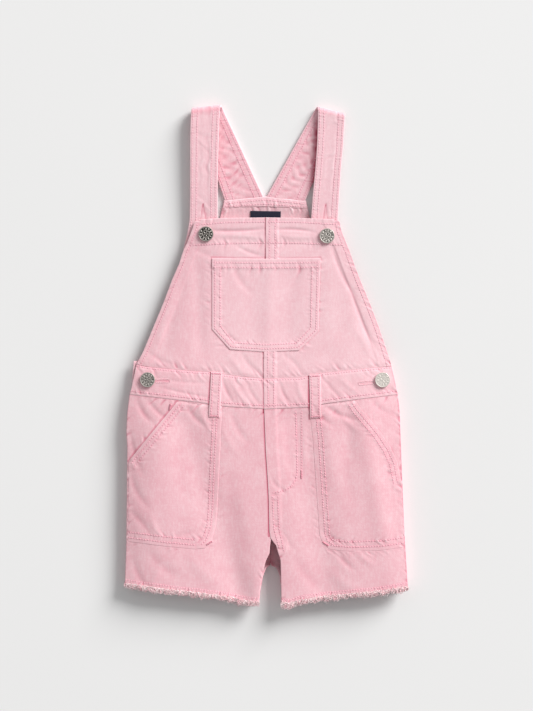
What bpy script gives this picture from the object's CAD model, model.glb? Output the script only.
import math

import bpy
import numpy as np
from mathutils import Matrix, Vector


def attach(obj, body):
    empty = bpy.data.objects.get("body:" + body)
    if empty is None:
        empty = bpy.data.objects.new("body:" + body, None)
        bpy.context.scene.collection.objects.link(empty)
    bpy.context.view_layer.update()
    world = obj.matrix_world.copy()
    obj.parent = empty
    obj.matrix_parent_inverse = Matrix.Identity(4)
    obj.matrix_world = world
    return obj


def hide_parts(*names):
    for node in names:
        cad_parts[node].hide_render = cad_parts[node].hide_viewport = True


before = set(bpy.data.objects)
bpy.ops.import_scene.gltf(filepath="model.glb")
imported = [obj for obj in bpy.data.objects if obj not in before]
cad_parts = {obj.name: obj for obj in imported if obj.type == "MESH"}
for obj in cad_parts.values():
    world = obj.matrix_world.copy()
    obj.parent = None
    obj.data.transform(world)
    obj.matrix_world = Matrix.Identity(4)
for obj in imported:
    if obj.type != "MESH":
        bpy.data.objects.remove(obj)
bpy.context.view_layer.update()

# Toddler short overalls in garment-dyed pink denim, laid flat: fine cloth, sewing and buttons on the frame.
# Places are on a pattern sheet in mm: across from its left border and down from its top border.

# The origin's place on the sheet, mesh steps in front and at the back, sink of a panel under a pocket
garment = {"centre": (266.0, 354.0), "step": 1.1, "backStep": 2.3, "underPocket": 0.45}

# The garment's sides: down, left, right
sides = np.array([
    (200, 203, 331), (219, 197, 338), (230, 192, 341), (243, 187, 346), (250, 183.5, 349), (264, 179, 354),
    (280, 172, 360), (304, 163, 370), (328, 153, 379), (352, 143, 387), (364, 136.5, 391), (384, 131, 395),
    (400, 129, 398), (424, 126.5, 400.5), (448, 127.5, 400.5), (480, 127, 402), (530, 127, 404),
    (560, 126, 406), (590, 125, 408), (620, 125, 408),
])
# Inner edges of the front legs: down, left leg, right leg
inseams = np.array([
    (200, 266.5, 266.5), (258, 266.5, 266.5), (350, 264.5, 264.5), (408, 264.8, 264.8), (450, 266.5, 266.5),
    (480, 268.5, 268.5), (500, 269.5, 269.5), (536, 270, 270.5), (545, 269.8, 276), (553, 269, 278.5),
    (560, 266, 280.5), (567, 264, 281), (575, 262, 281.2), (590, 260, 281.5), (620, 259, 281.5),
])
# Height of the front: down, left side, right side, crown, middle, widths of left rise, right rise, hollow
heights = np.array([
    (200, 9.0, 9.0, 9.8, 9.8, 24, 20, 30), (219, 9.0, 9.5, 9.9, 9.9, 30, 20, 30),
    (250, 8.4, 9.9, 10.3, 10.3, 46, 20, 30), (285, 8.2, 10.1, 10.6, 10.6, 52, 22, 30),
    (330, 8.4, 9.9, 11.4, 11.4, 60, 34, 30), (360, 8.8, 9.8, 12.6, 12.6, 62, 42, 30),
    (394, 9.6, 10.6, 14.0, 14.0, 50, 42, 30), (404, 9.8, 11.0, 14.4, 14.4, 46, 42, 30),
    (437, 10.2, 11.4, 14.9, 15.0, 34, 40, 28), (472, 10.0, 12.0, 15.1, 15.1, 31, 36, 26),
    (512, 10.4, 12.6, 15.2, 15.1, 30, 30, 20), (536, 10.2, 12.8, 15.1, 15.0, 33, 28, 16),
    (553, 10.0, 13.0, 15.0, 14.8, 38, 26, 12), (567, 9.9, 13.0, 14.9, 14.6, 42, 24, 10),
    (590, 9.8, 12.6, 14.5, 14.2, 42, 22, 8), (620, 9.8, 12.2, 14.1, 13.8, 42, 22, 8),
])
# Large folds: from across, down, to across, down, width, height
folds = np.array([
    (181, 412, 241, 604, 23, -1.8), (226, 500, 242, 606, 15, -0.9), (157, 430, 176, 570, 14, 0.3),
    (296, 412, 330, 604, 25, -1.7), (326, 415, 333, 485, 10, 0.4), (347, 415, 351, 460, 9, -0.5),
    (361, 412, 386, 545, 14, 0.8), (181, 278, 163, 354, 10, -0.5), (197, 262, 201, 352, 9, -0.5),
    (250, 268, 254, 340, 14, -0.35), (270, 262, 268, 345, 9, 0.35), (291, 266, 288, 345, 14, -0.5),
    (328, 262, 330, 350, 15, 0.3), (353, 272, 366, 330, 9, -0.4), (212, 236, 262, 241, 9, -0.5),
    (318, 239, 276, 243, 9, -0.4),
])
# Creases placed by hand: from across, down, to across, down, width, height, bow
creases = np.array([
    (214, 230.5, 262, 229, 2.2, -0.8, 1.0), (216, 236, 262, 238, 3.6, 0.55, -1.0),
    (279, 229.5, 309, 231, 2.0, -0.8, -0.8), (281, 236, 314, 237, 3.6, 0.5, 0.8),
    (238, 247, 262, 256, 2.6, -0.5, 1.0), (196, 250, 222, 257, 4.0, -0.35, 1.5),
    (233, 264, 248, 290, 5.0, -0.45, 2.0), (300, 266, 292, 286, 4.0, -0.35, -1.0),
    (224, 331, 237, 343, 3.0, -0.45, 0.5), (303, 332, 292, 343, 3.0, -0.4, 0.5),
    (243, 356, 262, 375, 4.0, -0.5, 2.0), (230, 357, 248, 376, 4.5, 0.4, 1.0),
    (286, 356, 300, 372, 4.0, -0.4, -1.5), (175, 292, 160, 344, 7.0, 0.45, 2.0),
    (148, 352, 176, 366, 4.0, -0.4, 2.0), (356, 330, 372, 362, 6.0, 0.4, -2.0),
    (333, 250, 352, 292, 3.0, -0.55, 2.0), (352, 292, 374, 346, 3.0, -0.5, 2.0),
    (160, 379, 206, 383, 2.4, -0.3, 1.0), (163, 388, 207, 397, 2.0, -0.4, 0.6),
    (223, 381, 233, 403, 3.0, -0.65, 1.0), (233, 384, 246, 404, 3.6, 0.5, 0.5),
    (248, 387, 261, 405, 3.0, -0.4, 1.0), (281, 388, 290, 404, 2.4, -0.65, 1.0),
    (297, 381, 304, 402, 4.0, 0.5, 0.5), (325, 380, 338, 396, 3.4, -0.4, 0.8),
    (340, 378, 356, 392, 3.4, 0.35, 0.5), (376, 385, 392, 391, 3.0, -0.3, 0.5),
    (138, 403, 150, 421, 4.0, -0.65, 1.0), (149, 401, 166, 418, 3.6, -0.55, 1.5),
    (187, 405, 205, 426, 4.0, -0.55, 2.0), (200, 409, 213, 434, 4.4, 0.5, 1.0),
    (131, 438, 141, 470, 4.0, -0.55, 1.0), (131, 476, 147, 506, 5.0, -0.5, 2.0),
    (131, 512, 151, 537, 5.0, -0.5, -2.0), (152, 518, 161, 538, 4.0, 0.4, 1.0),
    (176, 536, 194, 531, 3.6, -0.4, 0.6), (150, 553, 176, 576, 8.0, -0.5, 2.0),
    (190, 556, 216, 582, 9.0, 0.4, 2.0), (228, 470, 250, 560, 10.0, -0.35, 3.0),
    (134, 562, 150, 592, 5.0, -0.5, 2.0), (150, 590, 162, 562, 5.0, 0.4, 0.0),
    (232, 414, 246, 440, 5.0, -0.45, 2.0), (222, 424, 236, 452, 6.0, 0.35, 2.0),
    (314, 409, 330, 424, 4.0, -0.6, 1.0), (326, 406, 353, 419, 4.0, -0.75, 2.0),
    (340, 413, 357, 430, 4.4, 0.5, 1.0), (372, 402, 387, 413, 4.0, -0.4, 1.0),
    (395, 440, 387, 472, 4.0, -0.45, 1.0), (322, 531, 339, 541, 4.0, -0.55, 1.0),
    (338, 553, 352, 568, 4.0, -0.55, 1.0), (358, 552, 372, 564, 4.4, 0.4, 1.0),
    (296, 560, 321, 590, 8.0, -0.4, 2.0), (330, 571, 360, 592, 8.0, 0.4, 2.0),
    (272, 480, 284, 491, 3.0, -0.4, 1.0), (276, 521, 290, 546, 5.0, -0.5, 2.0),
    (286, 424, 291, 470, 7.0, -0.35, 1.0), (304, 420, 306, 470, 5.0, 0.45, 1.0),
    (345, 440, 352, 500, 9.0, -0.35, 2.0), (178, 440, 186, 500, 9.0, -0.3, 2.0),
])

# Seams and edges
waistTop = [
    (136.5, 364.5), (150, 367), (180, 370), (210, 372), (240, 376.5), (264.5, 378.5), (300, 377.5),
    (322, 373), (350, 370), (391.2, 366),
]
waistLow = [
    (130, 394.5), (160, 398), (200, 402.5), (225, 406.5), (264.8, 409), (308, 407), (325, 403.5),
    (355, 399.5), (397.4, 394.5),
]
bibSideL = [
    (199, 219.5), (194.5, 222), (192, 230), (187, 243), (183.5, 250), (179, 264), (172, 280), (163, 304),
    (153, 328), (143, 352), (136.5, 364.5),
]
bibSideR = [
    (335, 219.5), (339.5, 222), (341, 230), (346, 243), (349, 250), (354, 264), (360, 280), (370, 304),
    (379, 328), (387, 352), (391.2, 366),
]
bibCentre = [(266.5, 217.5), (266.5, 258), (264.5, 350), (264.5, 378.5)]
legSideL = [(130, 392), (127.5, 412), (126.5, 432), (127.5, 448), (127, 500), (126.5, 545), (125, 584.5)]
legSideR = [(397.4, 392), (399.5, 412), (400.5, 440), (402, 480), (404, 530), (406, 562), (407.5, 587.5)]
fly = [(264.8, 407), (266.5, 450), (268.5, 480), (269.5, 500), (270, 536)]
inseamL = [(270, 545), (269.4, 553), (266, 560), (264, 567), (262, 575), (260, 590), (259, 603)]
inseamR = [(276, 545), (280.5, 560), (281, 575), (281.5, 603.5)]
hemL = [(125, 584.5), (150, 588), (180, 592), (200, 594), (225, 597.5), (245, 602), (259, 603)]
hemR = [(281.5, 603.5), (290, 604.5), (300, 601), (325, 597.5), (350, 595), (380, 592), (407.5, 587.5)]
slantL = [(178, 401), (128.8, 461.5)]
slantR = [(355, 400.5), (360, 408), (370, 420), (380, 432), (390, 447), (397, 462), (401, 482)]
innerL = [(222, 404.5), (222, 417), (219.5, 470), (217.5, 510), (216, 526), (211, 542), (205, 548)]
innerR = [
    (310.5, 404.5), (310.5, 418), (313, 440), (315, 470), (317, 500), (319.5, 535), (323, 544), (330, 549),
]
baseL = [(128, 541.5), (145, 543.5), (165, 546), (195, 549), (205, 548)]
baseR = [(330, 549), (350, 551), (380, 550), (404, 547)]
armholeL = [(220, 217), (213, 240), (204, 265), (190, 295), (172, 325), (152, 348), (136, 361.5)]
armholeR = [(310, 217), (317, 240), (326, 265), (340, 295), (358, 325), (376, 346), (389, 361.5)]
backTop = [(224, 199.5), (263.3, 195.7), (266.7, 195.7), (306, 200)]
backInseamL = [(270.5, 566), (266.5, 568.5), (263, 576), (260.5, 590), (259.5, 600.4)]
backInseamR = [(270.5, 566), (276.5, 568.5), (279.6, 576), (281.2, 590), (282, 601)]

# Straps from the hidden end to the shoulder fold: left edge, right edge, height of the underside
strapFront = {
    "l": [
        ((183, 249.5), (212, 251.5), 3.6), ((187, 234), (215.5, 235), 4.6), ((189.5, 219), (217.6, 219), 6.0),
        ((190, 196), (217.5, 196), 7.0), ((190, 168), (217.8, 168), 7.8), ((190, 142), (218.6, 140), 8.4),
        ((190.3, 124), (219.3, 120.5), 8.8), ((191, 112.8), (219.9, 109.8), 8.6),
    ],
    "r": [
        ((309, 251.5), (337, 250.5), 3.2), ((310, 235), (337.5, 234.5), 3.7), ((311, 219), (338, 219), 4.4),
        ((312.5, 198), (339.2, 198), 4.7), ((315.2, 170), (341, 170), 4.7), ((317, 146), (343.2, 148), 4.8),
        ((317.8, 124), (344.4, 128), 4.9), ((318, 109.8), (345, 116.6), 5.4),
    ],
}
strapBase = {"l": ((224.2, 198.9), (263, 195.15)), "r": ((267, 195.15), (305.8, 199.4))}


def softened(values, reach, spread):
    kernel = np.exp(-0.5 * (np.arange(-reach, reach + 1) / spread) ** 2)
    return np.convolve(np.pad(values, reach, mode="edge"), kernel / kernel.sum(), "valid")


def smoothed(rows, column, spread):
    grid = np.arange(150.0, 640.0)
    return grid, softened(np.interp(grid, rows[:, 0], rows[:, column]), 15, spread)


columns = {("sides", k): smoothed(sides, k, 4) for k in (1, 2)}
columns.update({("inseams", k): smoothed(inseams, k, 2) for k in (1, 2)})
columns.update({("heights", k): smoothed(heights, k, 5) for k in range(1, 8)})


def lookUp(name, column, down):
    return np.interp(down, *columns[name, column])


def smoothStep(low, high, value):
    share = np.clip((value - low) / (high - low), 0, 1)
    return share * share * (3 - 2 * share)


def bell(distance, width):
    return np.exp(-(distance / width) ** 2)


def unit(vectors):
    return vectors / np.linalg.norm(vectors, axis=-1, keepdims=True)


def rise(distance, width):
    return np.sin(np.pi / 2 * np.clip(distance / width, -0.3, 1))


def ridges(across, down, rows):
    total = np.zeros(np.shape(across))
    for row in rows:
        x0, y0, x1, y1, width, height = row[:6]
        bow = row[6] if len(row) > 6 else 0.0
        length = math.hypot(x1 - x0, y1 - y0)
        along = ((across - x0) * (x1 - x0) + (down - y0) * (y1 - y0)) / length
        aside = ((across - x0) * (y1 - y0) - (down - y0) * (x1 - x0)) / length
        aside = aside + bow * (1 - (2 * along / length - 1) ** 2)
        fade = 13 if bow == 0 else min(13.0, 0.45 * length)
        ends = smoothStep(-fade, fade, along) * smoothStep(-fade, fade, length - along)
        total += height * ends * np.exp(-2 * (aside / width) ** 2)
    return total


def edgeDistance(across, down):
    outer = np.minimum(across - lookUp("sides", 1, down), lookUp("sides", 2, down) - across)
    left, right = lookUp("inseams", 1, down), lookUp("inseams", 2, down)
    return outer, np.where(across < (left + right) / 2, left - across, across - right)


def bySide(column, across, down):
    middle = (lookUp("sides", 1, down) + lookUp("sides", 2, down)) / 2
    return np.where(across < middle, lookUp("heights", column, down), lookUp("heights", column + 1, down))


def frontHeight(across, down):
    outer, inner = edgeDistance(across, down)
    crown, middle, hollow = [lookUp("heights", k, down) for k in (3, 4, 7)]
    height = crown - (crown - bySide(1, across, down)) * (1 - rise(outer, bySide(5, across, down)))
    height = height - (crown - middle) * (1 - rise(inner, hollow))
    calm = smoothStep(2, 16, outer) * np.where(down > 545, smoothStep(0, 12, inner), 1.0)
    return height + ridges(across, down, folds) * calm


def curl(distance):
    return np.clip(1 - distance / 14, 0, 1) ** 2


def backHeight(across, down):
    # Flat, and curled up to the front at the seams
    outer, inner = edgeDistance(across, down)
    seam = 1.5 + 1.0 - smoothStep(392, 402, down)
    near = (bySide(1, across, down) - seam) * curl(outer) * smoothStep(340, 366, down)
    inseam = (lookUp("heights", 4, down) - 1.5) * curl(inner) * smoothStep(560, 580, down)
    return np.where(down > 560, np.maximum(near, inseam), near)


def onSurface(height, across, down):
    # Points in mm and unit normals of a height function
    slopeX = height(across + 0.5, down) - height(across - 0.5, down)
    slopeY = height(across, down + 0.5) - height(across, down - 0.5)
    normal = unit(np.stack([-slopeX, slopeY, np.ones_like(slopeX)], -1))
    point = np.stack([across - garment["centre"][0], garment["centre"][1] - down, height(across, down)], -1)
    return point, normal


def alongLine(line, across, down):
    # Length along a bent line and signed distance from it, positive below a line that runs right
    best = np.full(np.shape(across), 1e9)
    along, aside = np.zeros_like(best), np.zeros_like(best)
    run = 0.0
    for (x0, y0), (x1, y1) in zip(line, line[1:]):
        length = math.hypot(x1 - x0, y1 - y0)
        t = ((across - x0) * (x1 - x0) + (down - y0) * (y1 - y0)) / length
        flat = np.clip(t, 0, length)
        gap = np.hypot(across - x0 - flat * (x1 - x0) / length, down - y0 - flat * (y1 - y0) / length)
        side = np.sign((down - y0) * (x1 - x0) - (across - x0) * (y1 - y0))
        nearer = gap < best
        best = np.where(nearer, gap, best)
        along = np.where(nearer, run + flat, along)
        aside = np.where(nearer, gap * side, aside)
        run += length
    return along, aside


def gapTo(line, across, down):
    return np.abs(alongLine(line, across, down)[1])


def wave(t, seed, length):
    # Uneven ripple of about unit height, in groups with calm stretches between
    rng = np.random.default_rng(seed)
    total = 0
    for ratio, weight in ((1.0, 0.6), (0.59, 0.45), (1.67, 0.45)):
        period = length * ratio * rng.uniform(0.9, 1.1)
        total = total + weight * np.sin(2 * np.pi * t / period + rng.uniform(0, 6))
    turns = [2 * np.pi * t / (length * ratio) + rng.uniform(0, 6) for ratio in (6.1, 3.3)]
    return total * (0.25 + 0.95 * smoothStep(-0.9, 1.1, np.sin(turns[0]) + 0.7 * np.sin(turns[1])))


def shifted(line, distance):
    # A bent line moved sideways, positive down on a line that runs right
    points = np.array(line, float)
    tangent = unit(np.gradient(points, axis=0))
    return [tuple(p) for p in points + distance * np.stack([-tangent[:, 1], tangent[:, 0]], -1)]


def lengthsAlong(points):
    return np.concatenate([[0], np.cumsum(np.linalg.norm(np.diff(points, axis=0), axis=1))])


def lengthOf(line):
    return lengthsAlong(np.array(line, float))[-1]


def pointsAt(run, lengths, points):
    return np.stack([np.interp(run, lengths, values) for values in points.T], -1)


def resampled(line, shares):
    points = np.array(line, float)
    lengths = lengthsAlong(points)
    return pointsAt(shares * lengths[-1], lengths, points)


def spacing(length, step):
    # Even steps with two close rows at each end, for a rounded edge
    count = max(3, round((length - 2.4) / step))
    inner = np.linspace(1.2, length - 1.2, count + 1)
    return np.concatenate([[0, 0.3, 0.7], inner, [length - 0.7, length - 0.3, length]]) / length


def patch(left, right, top, bottom, step):
    # Grid of sheet places between four edges; left and right run down, top and bottom run right
    wide = max(lengthOf(top), lengthOf(bottom))
    tall = max(lengthOf(left), lengthOf(right))
    u, v = spacing(wide, step), spacing(tall, step)
    topP, bottomP = resampled(top, u)[None], resampled(bottom, u)[None]
    leftP, rightP = resampled(left, v)[:, None], resampled(right, v)[:, None]
    u, v = u[None, :, None], v[:, None, None]
    corners = ((1 - u) * (1 - v) * topP[:, :1] + u * (1 - v) * topP[:, -1:]
               + (1 - u) * v * bottomP[:, :1] + u * v * bottomP[:, -1:])
    places = (1 - v) * topP + v * bottomP + (1 - u) * leftP + u * rightP - corners
    return places[..., 0], places[..., 1]


def isInside(across, down, outline):
    inside = np.zeros(np.shape(across), bool)
    for (x0, y0), (x1, y1) in zip(outline, outline[1:] + outline[:1]):
        if y0 != y1:
            crosses = (y0 > down) != (y1 > down)
            inside ^= crosses & (across < x0 + (down - y0) / (y1 - y0) * (x1 - x0))
    return inside


# Sewing thread in mm: pitch, radius, arch, groove in the cloth, half a stitch as a share of the pitch
thread = {"pitch": 2.65, "radius": 0.3, "bulge": 0.16, "groove": 0.85, "share": 0.37, "sides": 5}


def stitchLength(length):
    return length / max(1, int(length / thread["pitch"]))


def relief(piece, across, down):
    # Height of a piece's surface over its level, its tone, and its gaps to worn edges and stitches
    lift = np.zeros(np.shape(across))
    tone = np.zeros_like(lift)
    gap = gapTo(piece["outline"], across, down)
    for line, width, height in piece.get("welts", ()):
        lift += height * (1 - smoothStep(width - 0.9, width + 0.9, gapTo(line, across, down)))
    for line, low, high, height in piece.get("ramps", ()):
        lift += height * (1 - smoothStep(low, high, gapTo(line, across, down)))
    for line, width, depth in piece.get("tucks", ()):
        lift -= depth * (1 - smoothStep(0.2, width, gapTo(line, across, down)))
    for seed, (line, reach, height, length, slant, side) in enumerate(piece.get("puckers", ())):
        along, aside = alongLine(line, across, down)
        keep = bell(aside, reach)
        if side:
            keep = keep * smoothStep(0.2, 2.4, aside * side)
        bent = slant * np.abs(aside) + 0.8 * np.sin(along / 5.7 + 0.5 * np.abs(aside))
        ripple = wave(along + bent, piece["seed"] * 31 + seed, length) * keep
        lift += 0.7 * height * ripple
        tone += 0.6 * ripple * min(1.0, height / 0.45)
    for line, width, strength in piece.get("dark", ()):
        tone -= strength * bell(gapTo(line, across, down), width)
    if piece["front"]:
        crease = ridges(across, down, creases) * smoothStep(0.5, 5, gap)
        lift += 0.85 * crease
        tone += 0.6 * crease
        slow = wave(across * 0.8 + down * 0.6, 5, 47) * wave(down - 0.4 * across, 6, 61)
        lift += 0.16 * slow
    else:
        # Deeper colour at the crotch
        tone -= 0.4 * smoothStep(536, 552, down) * bell(across - 270, 12)
    for outline in piece.get("covers", ()):
        within = isInside(across, down, outline)
        sink = smoothStep(0.2, 1.8, gapTo(outline + outline[:1], across, down))
        lift -= garment["underPocket"] * sink * within
    stitchGap, stitchRun = np.full(np.shape(across), 9.0), np.zeros_like(lift)
    for line in piece.get("stitches", ()):
        along, aside = alongLine(line, across, down)
        nearer = np.abs(aside) < stitchGap
        stitchRun = np.where(nearer, along / stitchLength(lengthOf(line)), stitchRun)
        stitchGap = np.where(nearer, np.abs(aside), stitchGap)
        lift -= 0.04 * bell(aside, thread["groove"])
    edgeGap = np.full(np.shape(across), 9.0)
    for line in piece.get("worn", ()):
        edgeGap = np.minimum(edgeGap, gapTo(line, across, down))
    lift -= piece["round"] * np.clip(1 - gap / 0.9, 0, 1) ** 2
    lift -= piece.get("press", 0) * (1 - smoothStep(0, 3.4, gap))
    return lift, tone, edgeGap, stitchGap, stitchRun, fadeAt(across, down)


def topOf(piece, across, down):
    point, normal = onSurface(frontHeight if piece["front"] else backHeight, across, down)
    lift, *looks = relief(piece, across, down)
    return point + normal * (piece["high"] + lift)[..., None], normal, looks


def onTop(piece):
    # Gives points and normals of a piece's upper side at sheet places
    return lambda across, down: topOf(piece, across, down)[:2]


lookNames = "tone", "edgeGap", "stitchGap", "stitchRun", "fade"


def fadeAt(across, down):
    # Washed out above the waist, less at the left
    cloud = 0.03 * wave(across + 0.5 * down, 8, 39) * wave(down - 0.3 * across, 9, 53)
    return (1 - smoothStep(365, 425, down)) * (0.08 + 0.14 * smoothStep(185, 240, across)) + cloud


def addObject(name, data):
    item = bpy.data.objects.new(name, data)
    bpy.context.scene.collection.objects.link(item)
    return item


def makeMesh(name, points, faces, material, looks):
    mesh = bpy.data.meshes.new(name)
    mesh.from_pydata((points.reshape(-1, 3) * 0.001).tolist(), [], faces.tolist())
    mesh.polygons.foreach_set("use_smooth", np.full(len(mesh.polygons), True))
    for key, values in looks.items():
        layer = mesh.attributes.new(key, "FLOAT", "POINT")
        layer.data.foreach_set("value", np.ascontiguousarray(values, dtype=np.float32).ravel())
    mesh.materials.append(material)
    return addObject(name, mesh)


def gridFaces(rows, cols, wrap=False):
    r = np.arange(rows - 1)[:, None]
    c = np.arange(cols if wrap else cols - 1)[None]
    d = (c + 1) % cols
    corners = r * cols + c, (r + 1) * cols + c, (r + 1) * cols + d, r * cols + d
    return np.stack(np.broadcast_arrays(*corners), -1).reshape(-1, 4)


def place(item, nodes=()):
    if nodes:
        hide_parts(*nodes)
    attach(item, "root")
    return item


def makeCloth(name, piece, material):
    # One fine shell of cloth with its own relief, standing for its node
    across, down = patch(*piece["edges"], piece["step"])
    points, _, looks = topOf(piece, across, down)
    faces = gridFaces(*across.shape)
    item = makeMesh(name + "_cloth", points, faces, material, dict(zip(lookNames, looks)))
    shell = item.modifiers.new("thickness", "SOLIDIFY")
    shell.thickness = piece["thick"] * 0.001
    shell.offset = -1
    place(item, [name])
    tall = np.linalg.norm(np.diff(points, axis=0), axis=-1).sum(0).max()
    tall = max(tall, 10.2)  # keeps the neck strip clear of 10 mm, the least that a sheet can be


def tubes(paths, ups, radii, count):
    # Threads along many short paths at once
    tangent = unit(np.gradient(paths, axis=1))
    side = unit(np.cross(tangent, ups))
    up = np.cross(side, tangent)
    angles = (2 * np.pi * np.arange(count) / count)[None, None, :, None]
    ring = side[:, :, None] * np.cos(angles) + up[:, :, None] * np.sin(angles)
    points = paths[:, :, None] + ring * radii[:, :, None, None]
    one = gridFaces(paths.shape[1], count, wrap=True)
    size = paths.shape[1] * count
    faces = (one[None] + np.arange(len(paths))[:, None, None] * size).reshape(-1, 4)
    return points, faces


def stitchPaths(evaluate, line, rng):
    # Paths of the stitches along a line; evaluate gives points and normals at sheet places
    length = lengthOf(line)
    count = round(length / stitchLength(length))
    centres = (np.arange(count) + 0.5) * length / count + rng.uniform(-0.12, 0.12, count)
    reach = thread["share"] * length / count
    offsets = np.array([-1.0, -0.62, 0.0, 0.62, 1.0]) * reach
    spots = resampled(line, ((centres[:, None] + offsets[None]) / length).clip(0, 1).ravel())
    spots = spots.reshape(count, 5, 2) + rng.uniform(-0.08, 0.08, (count, 1, 2))
    point, normal = evaluate(spots[..., 0], spots[..., 1])
    arch = np.array([-0.75, 0.35, 1.0, 0.35, -0.75]) * thread["bulge"]
    return point + normal * arch[None, :, None], normal


def sew(name, pairs, seed):
    # All stitches of one piece as one mesh, each deeper in colour where it dives into the cloth
    rng = np.random.default_rng(seed)
    paths, ups = [np.concatenate(group) for group in zip(*pairs)]
    radii = thread["radius"] * np.array([0.55, 0.95, 1.0, 0.95, 0.55])[None]
    radii = radii * rng.uniform(0.9, 1.12, (len(paths), 1))
    points, faces = tubes(paths, ups, radii, thread["sides"])
    shade = np.array([0.0, 0.55, 0.8, 0.55, 0.0])[None] + rng.uniform(0, 0.2, (len(paths), 1))
    item = makeMesh(name, points, faces, threadYarn, {"shade": np.repeat(shade, thread["sides"])})
    return place(item)


def linear(code):
    # sRGB hex to linear colour
    values = [int(code[k:k + 2], 16) / 255 for k in (1, 3, 5)]
    return tuple(v / 12.92 if v <= 0.04045 else ((v + 0.055) / 1.055) ** 2.4 for v in values) + (1.0,)


def setInputs(tree, node, inputs):
    # Values or links for a node's inputs, by name or number
    for key, value in inputs.items():
        if isinstance(value, bpy.types.NodeSocket):
            tree.links.new(value, node.inputs[key])
        else:
            node.inputs[key].default_value = value


def addNode(tree, kind, inputs=None, output=0, **settings):
    # A node with its settings and links, given by one of its outputs
    node = tree.nodes.new("ShaderNode" + kind)
    for key, value in settings.items():
        setattr(node, key, value)
    setInputs(tree, node, inputs or {})
    return node.outputs[output]


def newMaterial(name):
    material = bpy.data.materials.new(name)
    material.use_nodes = True
    tree = material.node_tree
    return material, tree, tree.nodes["Principled BSDF"]


def inMillimetres(tree, stretch=(1, 1, 1)):
    # The object's own places in mm, stretched along yarns
    spot = addNode(tree, "TexCoord", output="Object")
    factors = tuple(1000 * share for share in stretch)
    return addNode(tree, "VectorMath", {0: spot, 1: factors}, operation="MULTIPLY")


def weightedSum(tree, *pairs):
    total = 0.0
    for value, weight in pairs:
        total = addNode(tree, "Math", {0: value, 1: weight, 2: total}, operation="MULTIPLY_ADD")
    return total


# Colours of the cloth and of its worn, deep, seam and stitch lines; twill spacing in mm
denim = {
    "mid": "#F3C4CC", "deep": "#DC8094", "pale": "#FCE6EA", "mottle": 0.16, "slub": 0.15,
    "seam": "#C04E66", "line": "#EC8BA5", "twill": 0.8, "bump": 0.2, "sheen": 0.06,
}


def denimMaterial(name, spec):
    # Garment-dyed 3/1 twill: slubby yarns, pale worn edges, deep colour left along seams
    material, tree, shader = newMaterial(name)
    tone, edge, stitch, run, fade = [
        addNode(tree, "Attribute", output="Fac", attribute_name=key) for key in lookNames]
    spot = inMillimetres(tree)
    along, over = inMillimetres(tree, (0.7, 0.16, 0.3)), inMillimetres(tree, (0.26, 0.7, 0.3))
    # Place, scale, detail and roughness of each noise
    mottle, cloud, speck, warp, weft = [
        addNode(tree, "TexNoise", {"Vector": row[0], "Scale": row[1], "Detail": row[2], "Roughness": row[3]})
        for row in ((spot, 0.045, 3.0, 0.6), (spot, 0.27, 2.0, 0.6), (spot, 0.9, 2.0, 0.7),
                    (along, 1.0, 2.0, 0.6), (over, 1.0, 2.0, 0.6))]
    ribs = {"Vector": spot, "Scale": 0.3142 / spec["twill"], "Distortion": 1.2, "Detail": 1.0,
            "Detail Scale": 1.5}
    twill = addNode(tree, "TexWave", ribs, 1, wave_type="BANDS", bands_direction="DIAGONAL")
    yarn = weightedSum(tree, (warp, 0.5), (weft, 0.35), (cloud, 0.15))
    phase = addNode(tree, "Math", {0: run, 1: 0.5}, operation="PINGPONG")

    # Each value, its range, and the shares that the range is taken to
    ranges = {
        "mottled": (mottle, 0.3, 0.7, 0.0, spec["mottle"]), "thick": (yarn, 0.42, 0.62, 0.0, spec["slub"]),
        "thin": (yarn, 0.36, 0.52, spec["slub"], 0.0), "deep": (tone, -0.05, -0.8, 0.0, 0.75),
        "line": (stitch, 0.3, 1.3, 0.36, 0.0), "lineWear": (speck, 0.3, 0.6, 0.6, 1.0),
        "worn": (edge, 0.3, 1.2, 0.42, 0.0), "wornWear": (speck, 0.3, 0.55, 0.5, 1.0),
        "bright": (tone, 0.1, 0.9, 0.0, 0.45), "hole": (stitch, 0.3, 0.85, 0.1, 0.0),
        "dip": (phase, 0.12, 0.3, 1.0, 0.0), "seam": (tone, -0.8, -1.6, 0.0, 0.9),
    }
    share = {key: addNode(tree, "MapRange", dict(enumerate(row)), interpolation_type="SMOOTHSTEP")
             for key, row in ranges.items()}
    share["washed"] = addNode(tree, "Math", {0: share["bright"], 1: fade}, operation="ADD", use_clamp=True)
    for key, one, two, operation in (
            ("line", "line", "lineWear", "MULTIPLY"), ("worn", "worn", "wornWear", "MULTIPLY"),
            ("hole", "hole", "dip", "MULTIPLY"), ("pale", "worn", "washed", "MAXIMUM"),
            ("seam", "hole", "seam", "MAXIMUM")):
        share[key] = addNode(tree, "Math", {0: share[one], 1: share[two]}, operation=operation)
    colour = linear(spec["mid"])
    for key, dye in (("mottled", "deep"), ("thick", "deep"), ("thin", "pale"), ("deep", "deep"),
                     ("line", "line"), ("pale", "pale"), ("seam", "seam")):
        colour = addNode(tree, "Mix", {0: share[key], 6: colour, 7: linear(spec[dye])}, 2, data_type="RGBA")

    height = weightedSum(tree, (twill, 0.35), (yarn, 1.0), (speck, 0.5))
    bump = addNode(tree, "Bump", {"Strength": spec["bump"], "Distance": 0.0004, "Height": height})
    setInputs(tree, shader, {
        "Base Color": colour, "Normal": bump, "Roughness": 0.92, "Specular IOR Level": 0.2,
        "Sheen Weight": spec["sheen"], "Sheen Roughness": 0.5})
    return material


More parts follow.
